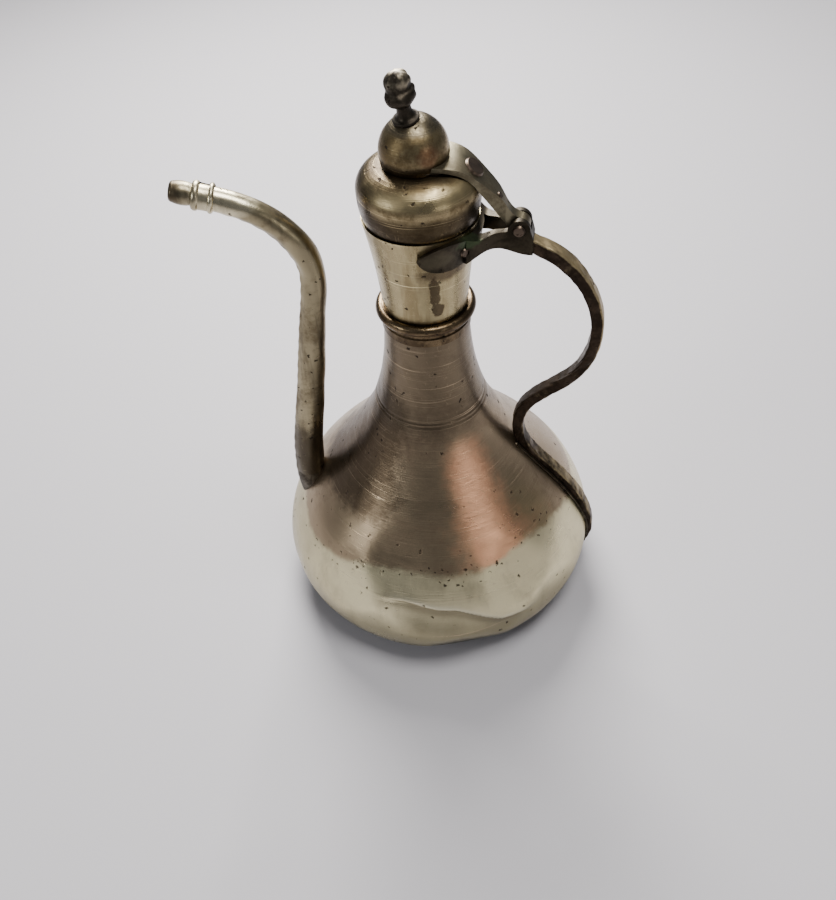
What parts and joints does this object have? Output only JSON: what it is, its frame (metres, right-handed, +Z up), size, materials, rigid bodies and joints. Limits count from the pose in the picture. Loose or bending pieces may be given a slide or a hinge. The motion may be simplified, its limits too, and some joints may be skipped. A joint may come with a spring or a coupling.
{
  "type": "ewer",
  "caption": "Footless pear-shaped metal ewer with a swan-neck spout, a looped handle and a hinged domed lid with a knob, for pouring water over the hands.",
  "frame": {"origin": "on the pot's own axis, in the plane it stands on", "axes": "+Z up along the pot's axis; +X from the axis to the handle; the lid's hinge pin runs along Y"},
  "size_m": [0.2141, 0.195, 0.3301],
  "materials": {
    "tinned_copper": "hand-tinned copper, worn and brown-toned, low sheen",
    "bright_tin": "worn bright tin over copper",
    "lid_tin": "tin rubbed to a brassy tone",
    "spout_tin": "dull tin over copper",
    "bronze_ring": "dark bronze, rubbed on the crest",
    "handle_bronze": "dark forged bronze, worn yellow on top",
    "clasp_bronze": "dark bronze with a little green",
    "finial_bronze": "dark pewter-toned casting with bright worn spots",
    "strap_tin": "dull tinned plate",
    "rivet_copper": "dull rivet metal",
    "rivet_iron": "dark iron pin",
    "solder": "grey solder"
  },
  "bodies": {
    "pot": {"bowl": "tinned_copper", "shoulder": "tinned_copper", "neck_sleeve": "bronze_ring", "neck_ring": "bronze_ring", "collar": "bright_tin", "spout_tube": "spout_tin", "spout_solder": "solder", "spout_ferrule": "spout_tin", "spout_nozzle": "spout_tin", "handle_bar": "handle_bronze", "handle_solder": "solder", "handle_clasp": "clasp_bronze", "clasp_rivets": "rivet_copper", "hinge_pin": "rivet_iron"},
    "lid": {"lid_dome": "lid_tin", "lid_skirt": "lid_tin", "lid_ball": "lid_tin", "crease_solder": "solder", "finial": "finial_bronze", "lid_strap": "strap_tin", "strap_rivet": "rivet_copper", "strap_stud": "rivet_copper"}
  },
  "joints": [
    {"name": "lid_hinge", "type": "hinge", "parent": "pot", "child": "lid", "pos_m": [0.0472, 0, 0.2568], "axis": [0, 1, 0], "range_deg": [0, 112]}
  ]
}
